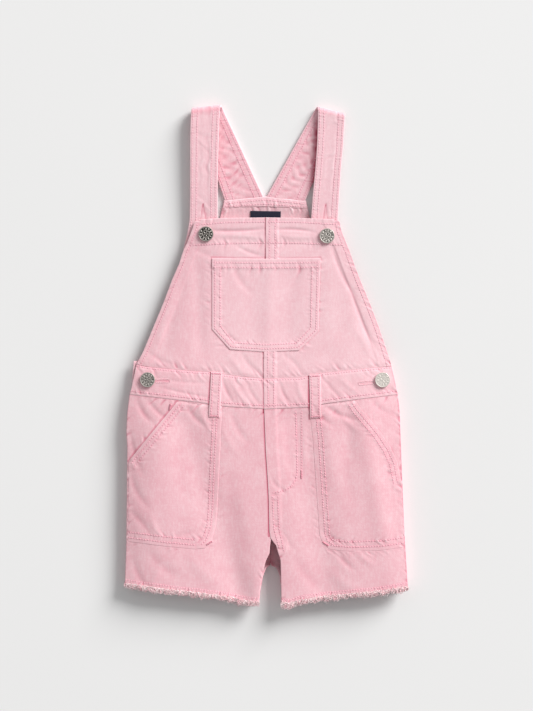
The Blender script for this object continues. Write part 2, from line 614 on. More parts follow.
def yarnMaterial(name, low, high):
    # Cotton thread, each length a little lighter or deeper
    material, tree, shader = newMaterial(name)
    shade = addNode(tree, "Attribute", output="Fac", attribute_name="shade")
    spot = inMillimetres(tree)
    fine = addNode(tree, "TexNoise", {"Vector": spot, "Scale": 1.6, "Detail": 1.0, "Roughness": 0.5})
    share = weightedSum(tree, (shade, 0.7), (fine, 0.3))
    colour = addNode(tree, "Mix", {0: share, 6: linear(low), 7: linear(high)}, 2, data_type="RGBA")
    setInputs(tree, shader, {"Base Color": colour, "Roughness": 0.85, "Sheen Weight": 0.1})
    return material


def labelMaterial(name):
    # Navy damask label: fine flat weave, plain
    material, tree, shader = newMaterial(name)
    spot = inMillimetres(tree)
    weave = {"Vector": spot, "Scale": 0.35, "Distortion": 0.6}
    ribs = addNode(tree, "TexWave", weave, 1, bands_direction="Y")
    speck = addNode(tree, "TexNoise", {"Vector": spot, "Scale": 1.2, "Detail": 2.0, "Roughness": 0.5})
    share = addNode(tree, "Math", {0: ribs, 1: speck}, operation="MULTIPLY")
    colour = addNode(tree, "Mix", {0: share, 6: linear("#080B22"), 7: linear("#151A42")}, 2, data_type="RGBA")
    bump = addNode(tree, "Bump", {"Strength": 0.4, "Distance": 0.0002, "Height": ribs})
    setInputs(tree, shader, {"Base Color": colour, "Normal": bump, "Roughness": 0.7})
    return material


def nickelMaterial(name):
    # Antique nickel: rubbed high spots, dark patina in the recesses
    material, tree, shader = newMaterial(name)
    patina = addNode(tree, "Attribute", output="Fac", attribute_name="patina")
    spot = inMillimetres(tree)
    speck = addNode(tree, "TexNoise", {"Vector": spot, "Scale": 1.4, "Detail": 3.0, "Roughness": 0.6})
    smooth = {"interpolation_type": "SMOOTHSTEP"}
    worn = addNode(tree, "MapRange", {0: speck, 1: 0.35, 2: 0.7, 3: -0.15, 4: 0.25}, **smooth)
    share = addNode(tree, "Math", {0: patina, 1: worn}, operation="ADD", use_clamp=True)
    colour = addNode(tree, "Mix", {0: share, 6: linear("#F0E8E0"), 7: linear("#231F1C")}, 2, data_type="RGBA")
    rough = addNode(tree, "MapRange", {0: share, 1: 0.0, 2: 1.0, 3: 0.35, 4: 0.6}, **smooth)
    bump = addNode(tree, "Bump", {"Strength": 0.25, "Distance": 0.0001, "Height": speck})
    setInputs(tree, shader, {"Base Color": colour, "Normal": bump, "Roughness": rough, "Metallic": 0.6})
    return material


denimCloth = denimMaterial("pink_denim_twill", denim)
threadYarn = yarnMaterial("pink_sewing_thread", "#EFA2B4", "#FBDDE3")
deepYarn = yarnMaterial("pink_bar_tack_thread", "#DC849A", "#F2B4C1")
paleYarn = yarnMaterial("pink_buttonhole_thread", "#EFB2BE", "#FAD6DD")
frayYarn = yarnMaterial("frayed_cotton_yarn", "#F3AEBB", "#FFF8F6")
labelCloth = labelMaterial("navy_woven_label")
nickel = nickelMaterial("antique_nickel")
print("materials made")


def outlineOf(left, right, top, bottom):
    return list(left) + list(bottom)[1:] + list(right)[::-1][1:] + list(top)[::-1][1:]


def clothPiece(left, right, top, bottom, high, thick, **extra):
    edges = left, right, top, bottom
    piece = {"edges": edges, "outline": outlineOf(*edges), "high": high, "thick": thick, "front": True,
             "step": garment["step"], "seed": 1, "round": 0.25}
    piece.update(extra)
    return piece


def moved(line, right=0.0, downward=0.0):
    return [(x + right, y + downward) for x, y in line]


def legPuckers(turn, waist, hem, base, inner, slant, side, inseam):
    # turn is -1 on the left and 1 on the right, here and below
    return [(waist, 8.0, 0.5, 8.5, 0.8, 1), (moved(hem, 0, -2.6), 2.6, 0.45, 2.6, 0.0, 0),
            (base, 4.6, 0.42, 6.5, -1.1 * turn, 1), (inner, 5.0, 0.25, 6.5, 0.8, turn),
            (slant, 5.0, 0.28, 8.0, 0.8, -turn), (side, 5.0, 0.3, 9.0, 0.7, 0),
            (inseam, 4.0, 0.3, 6.0, 0.7, 0)]


def pocketSewing(turn, slant, inner, insets, base, sewnBase, waist, side):
    slants = [shifted(slant, turn * distance) for distance in (3.6, 7.8, 8.5, 5.7)]
    inners = [shifted(inner, distance) for distance in insets]
    return {
        "stitches": slants[:2] + inners[:2] + [shifted(sewnBase, -4.2), shifted(sewnBase, -9.6)],
        "puckers": [
            (slants[2], 4.0, 0.28, 7.0, 0.8, 0), (shifted(base, -10), 4.0, 0.38, 6.5, -0.8 * turn, 0),
            (inners[2], 3.6, 0.24, 6.0, 0.8, 0), (inners[3], 2.2, 0.2, 2.7, 0.0, 0),
            (shifted(base, -7), 2.6, 0.2, 2.7, 0.0, 0), (slants[3], 2.2, 0.22, 2.7, 0.0, 0),
            (waist, 8.0, 0.5, 8.5, 0.9, 1), side],
    }


# A piece's four edges, its level over the front or back surface, its thickness, all in mm, then by name:
# worn, stitches: lines. covers: outlines of the pockets on it. round, press: how far its rim goes down.
# welts, tucks, dark: line, width, and height, depth or strength. ramps: line, from, to, height.
# puckers: line, reach, height, length of a ripple, slant, side of the line (0 for both).
pieces = {}
# The bib: the right half laps over the left
bibTopL = [(199, 219.5), (225, 218), (269, 217.5)]
bibTopR = [(265.7, 217.5), (300, 218), (335, 219.5)]
edgeStitchL, edgeStitchR = shifted(bibSideL[1:], -4.0), shifted(bibSideR[1:], 4.0)
facingL, facingR = shifted(bibSideL[2:], -12.5), shifted(bibSideR[2:], 12.5)
bandStitchL = [(190, 245.5), (225, 243.8), (265.5, 243)]
bandStitchR = [(267, 243), (300, 243.4), (343, 245)]
pocketRim = [
    (211.5, 257.9), (211.4, 330), (229.6, 350.3), (248, 351.9), (264, 352.7), (265.5, 352.7), (299.4, 351.2),
    (319.2, 331.4), (321, 258),
]
bibPocketTop = [(212, 258.5), (266, 258.9), (320.5, 258.5)]
bibPocketSide = (
    [(212, 258.5), (212, 329.5), (230, 349.5)], [(320.5, 258.5), (319, 300), (318.5, 331), (299, 350.5)])
bibPocketBase = [(230, 349.5), (265, 352), (299, 350.5)]
bibPocketEdge = outlineOf(*bibPocketSide, bibPocketTop, bibPocketBase)
pieces["bib_l"] = clothPiece(
    bibSideL, moved(bibCentre, 2.5), bibTopL, moved(waistTop[:5], 0, 3) + [(267, 381.6)], 1.2, 1.2, seed=2,
    worn=[bibTopL, bibSideL], stitches=[[(196, 225), (225, 222.6), (265.5, 222)], bandStitchL, edgeStitchL],
    welts=[(bibSideL, 12.5, 0.25), (bibTopL, 25.5, 0.2)],
    tucks=[(moved(bibCentre, 2.5), 3.6, 0.9), (waistTop[:6], 4.0, 0.3)],
    puckers=[(bandStitchL, 5.0, 0.32, 7.0, 0.5, 0), (waistTop[:6], 7.0, 0.4, 7.5, 0.8, -1),
             ([(199, 219.5), (266, 217.5)], 5.0, 0.22, 6.0, 0.4, 0), (bibSideL, 6.0, 0.22, 7.0, 0.9, 0),
             ([(211, 258), (211, 330), (229, 351), (264, 354)], 6.0, 0.25, 7.0, 0.6, 1)],
    covers=[bibPocketEdge],
    dark=[(facingL, 1.0, 0.25), (moved(bibCentre, -1.2), 0.7, 1.5), (pocketRim[:6], 0.8, 0.5),
          ([(212, 257.2), (266, 257.6)], 0.8, 0.7)])
pieces["bib_r"] = clothPiece(
    moved(bibCentre, -0.8), bibSideR, bibTopR, [(263.7, 381.5)] + moved(waistTop[6:], 0, 3), 1.2, 1.2,
    seed=3, round=0.12, worn=[bibTopR, moved(bibCentre, -0.8)],
    stitches=[[(268, 222), (300, 222.4), (337, 224.6)], bandStitchR, edgeStitchR,
              [(269.6, 219), (269.4, 262)], [(275.4, 219), (275.2, 262)],
              [(267.8, 350), (267.6, 377)], [(273.6, 350), (273.4, 377)]],
    welts=[(moved(bibCentre, -0.8), 12.5, 0.45), (bibSideR, 12.5, 0.3), (bibTopR, 25.5, 0.2)],
    tucks=[(waistTop[5:], 4.0, 0.3)],
    puckers=[(bandStitchR, 5.0, 0.32, 7.0, 0.5, 0), (waistTop[5:], 7.0, 0.4, 7.5, 0.8, -1),
             ([(266, 217.5), (335, 219.5)], 5.0, 0.22, 6.0, 0.4, 0), (bibSideR, 6.0, 0.28, 7.0, 0.9, 0),
             ([(322, 258), (320, 331), (300, 353), (266, 355)], 4.0, 0.2, 7.0, 0.6, 0),
             (moved(bibCentre, 12), 3.0, 0.22, 6.0, 0.5, 0)],
    covers=[bibPocketEdge],
    dark=[(facingR, 1.1, 0.25), (bibSideR, 1.5, 0.6), (pocketRim[5:], 0.8, 0.4),
          ([(266, 257.6), (321, 257.2)], 0.8, 0.6)])
pocketOuter = [
    (214.8, 260.5), (214.8, 328.5), (231.6, 346.8), (265, 349), (297.8, 347.6), (316, 330), (317.6, 260.5)]
pocketInner = [
    (220.3, 269), (220.3, 326), (233.4, 342.6), (265, 344.8), (296, 343.4), (310.8, 328), (311.8, 269)]
pieces["bib_pocket"] = clothPiece(
    *bibPocketSide, bibPocketTop, bibPocketBase, 1.5, 0.4, seed=4, round=0.15,
    worn=[bibPocketTop, bibPocketSide[0], bibPocketBase],
    stitches=[pocketOuter, pocketInner, [(213.5, 262.6), (266, 263), (319, 262.6)],
              [(213.5, 267.4), (266, 267.8), (319, 267.4)]],
    welts=[(bibPocketTop, 10.5, 0.3), (bibPocketSide[0], 9.0, 0.2), (bibPocketSide[1], 9.0, 0.2),
           (bibPocketBase, 7.5, 0.2)],
    puckers=[([(213, 269), (320, 269)], 5.0, 0.34, 7.5, 0.5, 0), (pocketInner, 3.6, 0.22, 6.5, 0.8, 0),
             (shifted(bibPocketTop, 6.5), 2.4, 0.22, 2.7, 0.0, 0),
             (shifted(pocketInner, -2.8), 2.2, 0.18, 2.7, 0.0, 0)])
# The waistband
waistStitchTop, waistStitchLow = moved(waistTop, 0, 1.7), moved(waistLow, 0, -3.6)
bandSideL = [(136.5, 364.5), (134.4, 375), (132, 386), (130, 394.5)]
bandSideR = [(391.2, 366), (394.5, 380), (397.4, 394.5)]
seamBand = [(264.5, 378.5), (264.8, 409)]
loopRim = {"l": [(223, 372), (211, 371.4), (209.3, 395), (207.9, 418), (221, 418.8)],
           "r": [(321, 374), (309, 374.2), (308.9, 395), (309.3, 419.2), (322, 418.6)]}
pieces["waistband_front_l"] = clothPiece(
    bandSideL, moved(seamBand, 2.5), waistTop[:5] + [(267, 378.6)], waistLow[:4] + [(267.3, 409.1)], 1.6, 1.0,
    seed=5, worn=[waistLow[:5], bandSideL],
    stitches=[waistStitchTop[:5] + [(263.5, 380.2)], waistStitchLow[:4] + [(264, 405.3)]],
    tucks=[(waistTop[:6], 4.0, 0.55), (moved(seamBand, 2.5), 3.6, 0.9)],
    puckers=[(waistTop[:6], 8.0, 0.36, 8.5, -0.7, 1), (waistLow[:5], 8.0, 0.36, 8.0, 0.7, -1)],
    dark=[(waistTop[:6], 0.8, 0.5), (moved(seamBand, -1.2), 0.7, 1.3), (loopRim["l"][1:4], 0.9, 1.5),
          ([(155, 381.2), (163, 380.6), (169, 381.3)], 0.9, 0.7)])
pieces["waistband_front_r"] = clothPiece(
    moved(seamBand, -0.8), bandSideR, [(263.7, 378.5)] + waistTop[6:], [(264, 409)] + waistLow[5:], 1.6, 1.0,
    seed=6, round=0.12, worn=[waistLow[4:], moved(seamBand, -0.8)],
    stitches=[[(266, 380)] + waistStitchTop[6:], [(266, 405.3)] + waistStitchLow[5:],
              [(268, 380), (268.4, 407)], [(273.8, 380), (274.2, 407)]],
    tucks=[(waistTop[5:], 4.0, 0.55)], welts=[(moved(seamBand, -0.8), 12, 0.35)],
    puckers=[(waistTop[5:], 8.0, 0.36, 8.5, -0.7, 1), (waistLow[4:], 8.0, 0.36, 8.0, 0.7, -1)],
    dark=[(waistTop[5:], 0.8, 0.5), (bandSideR, 1.5, 0.6), (loopRim["r"][1:4], 1.1, 1.9),
          ([(360, 383.8), (366, 382.8), (374, 382.4)], 0.9, 0.6)])
# The front legs: the right panel laps over the left
legInL = moved(fly[:4], 2.5) + [(272.4, 530)] + inseamL
legInR = moved(fly[:4], -0.8) + [(269.3, 530), (270.6, 538)] + inseamR
hemStitchL, hemStitchR = moved(hemL, 0, -5.0), moved(hemR, 0, -5.0)
jStitch = [(295.5, 411), (296.4, 440), (297, 472), (295.5, 480), (290, 487.5), (282, 491), (272, 492.5)]
legTopL = [(130, 392), (160, 395.5), (200, 400), (225, 404), (267.3, 407)]
legTopR = [(264, 407), (308, 404.5), (325, 401), (355, 397), (397.4, 392)]
sideL, sideR = slantL + [(128.5, 500), (128, 541.5)], slantR + [(403, 520), (404, 547)]
pocketTopL, pocketTopR = [(178, 401), (200, 403.6), (222, 404.5)], [(310.5, 404.5), (325, 403), (355, 400.5)]
pocketEdgeL = outlineOf(sideL, innerL, pocketTopL, baseL)
pocketEdgeR = outlineOf(innerR, sideR, pocketTopR, baseR)
pieces["front_leg_l"] = clothPiece(
    legSideL, legInL, legTopL, hemL, 1.2, 1.2, seed=7,
    covers=[pocketEdgeL], stitches=[hemStitchL], welts=[(hemL, 4.5, 0.2)],
    tucks=[(moved(waistLow[:5], 0, -1.9), 2.2, 0.2), (legInL[:5], 3.6, 0.9)],
    puckers=legPuckers(-1, waistLow[:5], hemL, baseL, innerL, slantL, legSideL, inseamL),
    dark=[(moved(fly, -1.2), 0.85, 1.7), (moved(hemL, 0, -1.6), 2.0, 0.5), (moved(baseL, 0, 0.7), 0.8, 0.12),
          (moved(waistLow[:5], 0, 0.9), 0.9, 0.35), (shifted(slantL, 0.8), 1.0, 0.9),
          (loopRim["l"][1:4], 0.8, 1.0)])
pieces["front_leg_r"] = clothPiece(
    legInR, legSideR, legTopR, hemR, 1.2, 1.2, seed=8, round=0.12, worn=[legInR[:6]], covers=[pocketEdgeR],
    stitches=[hemStitchR, jStitch, [(301.6, 411), (301.4, 477)], [(272.4, 495), (273.8, 528), (279.5, 548)],
              [(277.6, 495), (279, 528), (284, 551)]],
    tucks=[(moved(waistLow[4:], 0, -1.9), 2.2, 0.2)], welts=[(hemR, 4.5, 0.2), (legInR[:7], 12, 0.35)],
    puckers=legPuckers(1, waistLow[4:], hemR, baseR, innerR, slantR, legSideR, inseamR) + [
        ([(275, 495), (276.5, 528), (281, 549)], 3.6, 0.3, 4.5, 0.5, 0), (jStitch, 3.0, 0.2, 6.0, 0.6, 0)],
    dark=[(legSideR, 1.6, 0.6), (moved(hemR, 0, -1.6), 2.0, 0.5), (moved(baseR, 0, 0.7), 0.8, 0.15),
          (moved(waistLow[4:], 0, 0.9), 0.9, 0.35), (shifted(slantR, -0.6), 0.8, 0.2),
          (loopRim["r"][1:4], 0.8, 1.0)])
pieces["front_pocket_l"] = clothPiece(
    sideL, innerL, pocketTopL, baseL, 1.35, 0.3, seed=9, round=0.12, worn=[slantL],
    welts=[(slantL, 9.5, 0.2), (shifted(innerL, 5), 4.2, 0.15)], tucks=[(pocketTopL, 3.0, 0.4)],
    **pocketSewing(-1, slantL, innerL, (5.2, 8.9, 10, 7.0), baseL, baseL[:-1], waistLow[1:4],
                   (sideL[1:], 5.0, 0.35, 9.0, 0.7, 0)))
pieces["front_pocket_r"] = clothPiece(
    innerR, sideR, pocketTopR, baseR, 1.27, 0.2, seed=10, round=0.02,
    welts=[(slantR, 9.5, 0.2)], tucks=[(pocketTopR, 3.0, 0.4)],
    **pocketSewing(1, slantR, innerR, (-5.8, -9.8, -10.5, -7.8), baseR, baseR, waistLow[5:8],
                   (sideR[6:], 5.0, 0.3, 9.0, 0.7, 0)))
loopSides = {"l": ([(211, 372), (210, 395), (208.7, 417)], [(222.3, 372.6), (221, 395), (220, 417.8)]),
             "r": ([(309, 375), (309.6, 395), (310, 418.4)], [(320.4, 374.4), (320.8, 395), (321.2, 417.6)])}
for side, (left, right) in loopSides.items():
    ends = [left[0], right[0]], [left[-1], right[-1]]
    pieces["belt_loop_" + side] = clothPiece(
        left, right, *ends, 2.25, 0.7, seed=11, step=1.0, worn=[left, right], round=0.15,
        stitches=[shifted(left, -2.2), shifted(right, 2.2)],
        tucks=[(ends[0], 5.0, 0.25), (ends[1], 5.0, 0.25)],
        puckers=[(shifted(left, -5.5), 4.0, 0.25, 6.0, 0.5, 0)])
# The back, flat on the surface
backStep = garment["backStep"]
facingLow = [(222.6, 208), (244, 206.6), (265, 206.4), (286, 207), (307.6, 208.6)]
facingTop = [(224.1, 200.3), (263, 196.5), (267, 196.5), (305.9, 200.8)]
pieces["back_bib"] = clothPiece(
    [backTop[0]] + armholeL, [backTop[-1]] + armholeR, backTop, [(136, 361.5), (389, 361.5)], 1.2, 1.2,
    seed=12, front=False, step=2.1, worn=[backTop, armholeL, armholeR],
    stitches=[shifted(armholeL, -4), shifted(armholeR, 4)],
    ramps=[(backTop, 8.5, 17, 1.0)],
    puckers=[(moved(facingLow, 0, 3), 6.0, 0.5, 7.0, 0.6, 0), (armholeL, 5.0, 0.2, 7.0, 0.7, 0),
             (armholeR, 5.0, 0.2, 7.0, 0.7, 0)])
pieces["back_facing"] = clothPiece(
    [facingTop[0], facingLow[0]], [facingTop[-1], facingLow[-1]], facingTop, facingLow, 2.75, 1.3, seed=13,
    front=False, step=0.9, worn=[facingTop], press=0.12,
    stitches=[[(226, 203.2), (263, 199.6), (267, 199.6), (304.4, 203.6)],
              [(225, 206), (265, 203.6), (305.6, 206.6)]],
    puckers=[([(224, 206), (265, 204), (306, 206)], 5.0, 0.4, 6.0, 0.5, 0)])
pieces["label"] = clothPiece(
    [(250.4, 210.4), (250, 228.4)], [(280.9, 211), (280.5, 229)], [(250.4, 210.4), (280.9, 211)],
    [(250, 228.4), (280.5, 229)], 2.4, 0.8, seed=14, front=False, step=1.2)
pieces["back_waistband"] = clothPiece(
    [(133.5, 361.5), (132.6, 372), (130.8, 394)], [(389, 361.5), (392.5, 372), (396.8, 394)],
    [(133.5, 361.5), (389, 361.5)], [(130.8, 394), (396.8, 394)], 2.2, 2.1,
    seed=15, front=False, step=backStep,
    worn=[[(133.5, 361.5), (132.6, 372), (130.8, 394)]],
    stitches=[[(135, 364), (388, 364)], [(133, 391), (395, 391)]],
    puckers=[([(134, 378), (394, 378)], 12.0, 0.2, 11.0, 0.6, 0)])
backSeam = [(266, 394), (267.5, 480), (270.5, 566)]
backHemL, backHemR = moved(hemL, 0, -2.6), moved(hemR, 0, -2.6)
pieces["back_leg_l"] = clothPiece(
    [(130.8, 394.3)] + legSideL[1:-1] + [backHemL[0]], backSeam + backInseamL[1:-1] + [backHemL[-1]],
    [(130.8, 394.3), (266, 394.3)], backHemL, 1.2, 1.2, seed=16, front=False, step=backStep,
    stitches=[moved(backHemL, 0, -4.2)], puckers=[(moved(backHemL, 0, -4), 3.6, 0.3, 3.4, 0.0, 0),
                                                  (backInseamL, 5.0, 0.3, 5.0, 0.3, 0)])
pieces["back_leg_r"] = clothPiece(
    [(266, 394.3)] + backSeam[1:] + backInseamR[1:-1] + [backHemR[0]],
    [(396.8, 394.3)] + legSideR[1:-1] + [backHemR[-1]], [(266, 394.3), (396.8, 394.3)], backHemR, 1.2, 1.2,
    seed=17, front=False, step=backStep, stitches=[moved(backHemR, 0, -4.2)],
    puckers=[(moved(backHemR, 0, -4), 3.6, 0.3, 3.4, 0.0, 0), (backInseamR, 5.0, 0.3, 5.0, 0.3, 0)])

for seed, (name, piece) in enumerate(pieces.items()):
    sewn = []
    if piece.get("stitches"):
        rng = np.random.default_rng(seed)
        pairs = [stitchPaths(onTop(piece), line, rng) for line in piece["stitches"]]
        sewn = [sew(name + "_stitches", pairs, seed)]
    cloth = labelCloth if name == "label" else denimCloth
    makeCloth(name, piece, cloth)
print("cloth made")


# Straps in mm: thickness, width, stitch lines from the edge, drift over the fold, mesh step, length along
# at which the creases have ended; left edge of the right strap's front run (down, across); lines of the
# hidden buttonholes (along, from the left edge)
strap = {
    "thick": 2.4, "wide": 28.5, "lines": (2.2, 6.6), "drift": 3.4, "step": 1.05, "level": 262,
    "rimR": ((104, 120, 150, 180, 216), (318, 318, 317, 314, 311)),
    "holes": {"l": [[(47.5, 13.4), (33, 11.6)], [(47.5, 13.4), (33, 16.4)]],
              "r": [[(47.5, 14.4), (33, 13.2)], [(46.0, 15.0), (33, 17.2)]]},
}


def strapStations(side):
    # Left and right edge points in mm of one strap, from its hidden end over the fold to the back
    stations = [(np.array(a, float), np.array(b, float), z) for a, b, z in strapFront[side]]
    left, right, height = stations[-1]
    drift = strap["drift"] * (1 if side == "l" else -1)
    turn = unit(np.array([right[1] - left[1], left[0] - right[0]]))
    radius = height / 2
    for step in range(1, 15):
        angle = math.pi * step / 14
        shift = turn * radius * math.sin(angle) + np.array([drift * step / 14, 0])
        stations.append((left + shift, right + shift, radius + radius * math.cos(angle)))
    left, right = stations[-1][:2]
    for step in range(1, 9):
        share = step / 8
        stations.append((left + share * (np.array(strapBase[side][0]) - left),
                         right + share * (np.array(strapBase[side][1]) - right), 0.0))
    past = (stations[-1][0] - stations[-2][0]) + (stations[-1][1] - stations[-2][1])
    past *= 3.2 / np.linalg.norm(past)
    stations.append((stations[-1][0] + past, stations[-1][1] + past, -0.3))
    lefts = np.array([[*onModel(a), z + strap["thick"] / 2] for a, b, z in stations])
    rights = np.array([[*onModel(b), z + strap["thick"] / 2] for a, b, z in stations])
    return lefts, rights


def onModel(spot):
    return spot[0] - garment["centre"][0], garment["centre"][1] - spot[1]


def strapRelief(along, inset, face, side):
    # Lift and looks of a strap's face; inset is the distance from its left edge
    near = np.minimum(inset, strap["wide"] - inset)
    seed = 70 + (7 if side == "r" else 0) + (face > 0) * 3
    inner = smoothStep(strap["lines"][1] - 1, strap["lines"][1] + 2, near)
    back = smoothStep(140, 170, along)
    flip = 1 if side == "l" else -1
    sway = 2.2 * wave(along, seed + 5, 26)
    run = along + flip * 0.7 * (inset - 14) + 1.8 * np.sin(inset / 2.9 + along / 7.0)
    other = along - flip * 0.9 * inset + sway
    crumple = 0.8 * np.sin(run / 1.25 + 1.3 * np.sin(along / 13))
    crumple = crumple * (0.65 + 0.35 * np.sin(along / 9.1 + inset / 5))
    crumple = crumple + 0.5 * np.sin(other / 2.1 + seed) + 0.35 * wave(run, seed, 9)
    soft = wave(inset * 1.1 + sway, seed + 4, 8.0) * (0.6 + 0.4 * np.sin(along / 11.0))
    soft = soft + 0.4 * wave(run, seed + 3, 10)
    ripple = inner * (back * 0.85 * crumple + (1 - back) * 0.95 * soft) * 0.75
    edge = wave(along, seed + 2, 3.1) * (1 - inner)
    ended = 1 - smoothStep(strap["level"] - 16, strap["level"], along)
    ripple, edge = ripple * ended, edge * ended
    lift = 0.32 * ripple + 0.1 * edge + 0.12 * (1 - inner)
    tone = 0.62 * ripple + 0.3 * edge - 0.12 * back
    for line in strap["holes"][side] if face > 0 else ():
        gap = gapTo(line, along, inset)
        tone = tone - 1.1 * bell(gap, 0.75)
        lift = lift - 0.25 * bell(gap, 0.9)
    stitchGap = np.minimum(np.abs(near - strap["lines"][0]), np.abs(near - strap["lines"][1]))
    lift = lift - 0.06 * bell(stitchGap, thread["groove"])
    return lift, tone, near, stitchGap


def makeStrap(side):
    lefts, rights = strapStations(side)
    mids = (lefts + rights) / 2
    lengths = lengthsAlong(mids)
    run = np.linspace(0, lengths[-1], round(lengths[-1] / strap["step"]))
    lefts, rights = [np.stack([softened(values, 4, 1.2) for values in pointsAt(run, lengths, edge).T], -1)
                     for edge in (lefts, rights)]
    across = rights - lefts
    width = np.linalg.norm(across, axis=1)
    across /= width[:, None]
    ahead = np.gradient((lefts + rights) / 2, axis=0)
    normal = unit(np.cross(across, ahead))

    def evaluate(rows, inset, face):
        lift, tone, near, gap = strapRelief(rows, inset, face, side)
        phase = (rows - 4.0) / stitchLength(lengths[-1] - 6.0) + 0 * inset
        spot = [pointsAt(rows, run, values) for values in (lefts, across, normal)]
        edge = np.sqrt(np.clip(1 - (1 - np.clip(near / 0.6, 0, 1)) ** 2, 0, 1))
        level = face * (strap["thick"] / 2 * (0.6 + 0.4 * edge) + lift * edge)
        reach = inset * np.interp(rows, run, width) / strap["wide"]
        point = spot[0] + spot[1] * reach[..., None] + spot[2] * level[..., None]
        if side == "r":
            # Deep colour on the back run beside the front run's edge
            rim = np.interp(garment["centre"][1] - point[..., 1], *strap["rimR"])
            fromFront = rim - garment["centre"][0] - point[..., 0]
            tone = tone - 1.3 * smoothStep(150, 165, rows) * bell(fromFront, 3.2)
        fade = 0.24 + (0.04 if side == "r" else 0.0) - 0.2 * smoothStep(140, 170, rows) + 0 * tone
        tone = tone - 0.6 * bell(rows - 141, 5)
        return point, spot[2] * face, (tone, near, gap, phase, fade)

    rim = np.array([0, 0.2, 0.55, 1.0])
    insets = np.concatenate([rim, np.linspace(1.7, strap["wide"] - 1.7, 22), strap["wide"] - rim[::-1]])
    rows, cols = np.broadcast_arrays(run[:, None], insets[None])
    top, low = evaluate(rows, cols, 1.0), evaluate(rows, cols, -1.0)
    points = np.concatenate([top[0], low[0][:, ::-1]], axis=1)
    looks = [np.concatenate([a, b[:, ::-1]], axis=1) for a, b in zip(top[2], low[2])]
    ring = points.shape[1]
    faces = gridFaces(len(run), ring, wrap=True).tolist()
    half = ring // 2
    for base, flip in ((0, 1), ((len(run) - 1) * ring, -1)):
        for k in range(half - 1):
            faces.append([base + k, base + k + 1, base + ring - 2 - k, base + ring - 1 - k][::flip])
    item = makeMesh("strap_" + side + "_cloth", points, np.array(faces), denimCloth,
                    dict(zip(lookNames, looks)))
    place(item, ["strap_" + side])
    lines = []
    for inset in (*strap["lines"], strap["wide"] - strap["lines"][1], strap["wide"] - strap["lines"][0]):
        for face in (1.0, -1.0):
            lines.append(([(4.0, inset), (lengths[-1] - 2.0, inset)], face))
    rng = np.random.default_rng(40)
    pairs = [stitchPaths(lambda s, t, f=face: evaluate(s, t, f)[:2], line, rng) for line, face in lines]
    sewn = sew("strap_" + side + "_stitches", pairs, 41)


for side in ("l", "r"):
    makeStrap(side)
print("straps made")


# Loose yarns of the raw hems: how many for each mm, length and radius in mm, lean, rise
fray = {"perMm": 11.0, "length": (3.2, 5.7), "radius": 0.25, "lean": 0.45, "rise": 0.4}


def makeFray(name, hem, piece, node, seed, share):
    # Loose yarn ends along a raw hem, the upper ones lying on the cloth
    rng = np.random.default_rng(seed)
    length = lengthOf(hem)
    count = int(length * fray["perMm"] * share)
    roots = resampled(hem, rng.uniform(0.002, 0.998, count))
    above = rng.uniform(0.2, 2.6, count)
    roots[:, 1] -= above
    point, normal, _ = topOf(piece, roots[:, 0], roots[:, 1])
    point = point + normal * np.where(above > 1.4, 0.12, -rng.uniform(0.0, 1.1, count))[:, None]
    tufts = 0.85 + 0.3 * np.sin(roots[:, 0] / 1.7 + 2 * np.sin(roots[:, 0] / 5.3)) * np.sin(roots[:, 0] / 3.9)
    size = rng.uniform(*fray["length"], count) * tufts
    lean = rng.normal(0, fray["lean"], count)
    bend = rng.normal(0, 1.2, count)
    lift = rng.normal(0.1, fray["rise"], count)
    steps = np.linspace(0, 1, 5)[None]
    x = point[:, :1] + (lean[:, None] * steps + bend[:, None] * (steps ** 2 - steps) * 1.8) * size[:, None]
    x = np.clip(x, point[:, 0].min() - 1.2, point[:, 0].max() + 1.2)
    y = point[:, 1:2] - size[:, None] * steps * np.cos(np.clip(lean, -1.2, 1.2))[:, None]
    z = point[:, 2:] + lift[:, None] * steps * size[:, None] * 0.5 - 0.105 * (steps ** 2) * size[:, None]
    paths = np.stack([x, y, np.maximum(z, 0.2)], -1)
    ups = np.broadcast_to(np.array([0.31, 0.17, 0.94]), paths.shape)
    radii = fray["radius"] * np.array([1.0, 0.75, 1.2, 0.7, 0.9])[None] * rng.uniform(0.7, 1.3, (count, 1))
    points, faces = tubes(paths, ups, radii, 3)
    shade = np.repeat(rng.beta(1.3, 1.0, count), 15)
    place(makeMesh(name, points, faces, frayYarn, {"shade": shade}), [node])


hems = (("front", "l", hemL, 1.0), ("front", "r", hemR, 1.0),
        ("back", "l", backHemL, 0.5), ("back", "r", backHemR, 0.5))
for seed, (where, side, hem, share) in enumerate(hems, 11):
    piece = pieces[f"{where}_leg_{side}"]
    makeFray(f"fray_{where}_{side}", hem, piece, f"hem_fray_{where}_{side}", seed, share)
print("fray made")


# Jeans buttons: height in mm, marks in the ring, mesh steps round
button = {"height": 3.4, "marks": 12, "sides": 144}
# Place, lift over the cloth, turn of the pattern, depth of its relief, dullness
buttons = {
    "bib_l": (206, 234, 0.2, 0.4, 0.75, 0.18), "bib_r": (327, 236, 0.2, 2.1, 0.6, -0.08),
    "waist_l": (148, 380, 0.6, 3.3, 0.5, 0.0), "waist_r": (382, 380, 0.6, 5.0, 0.25, -0.5),
}


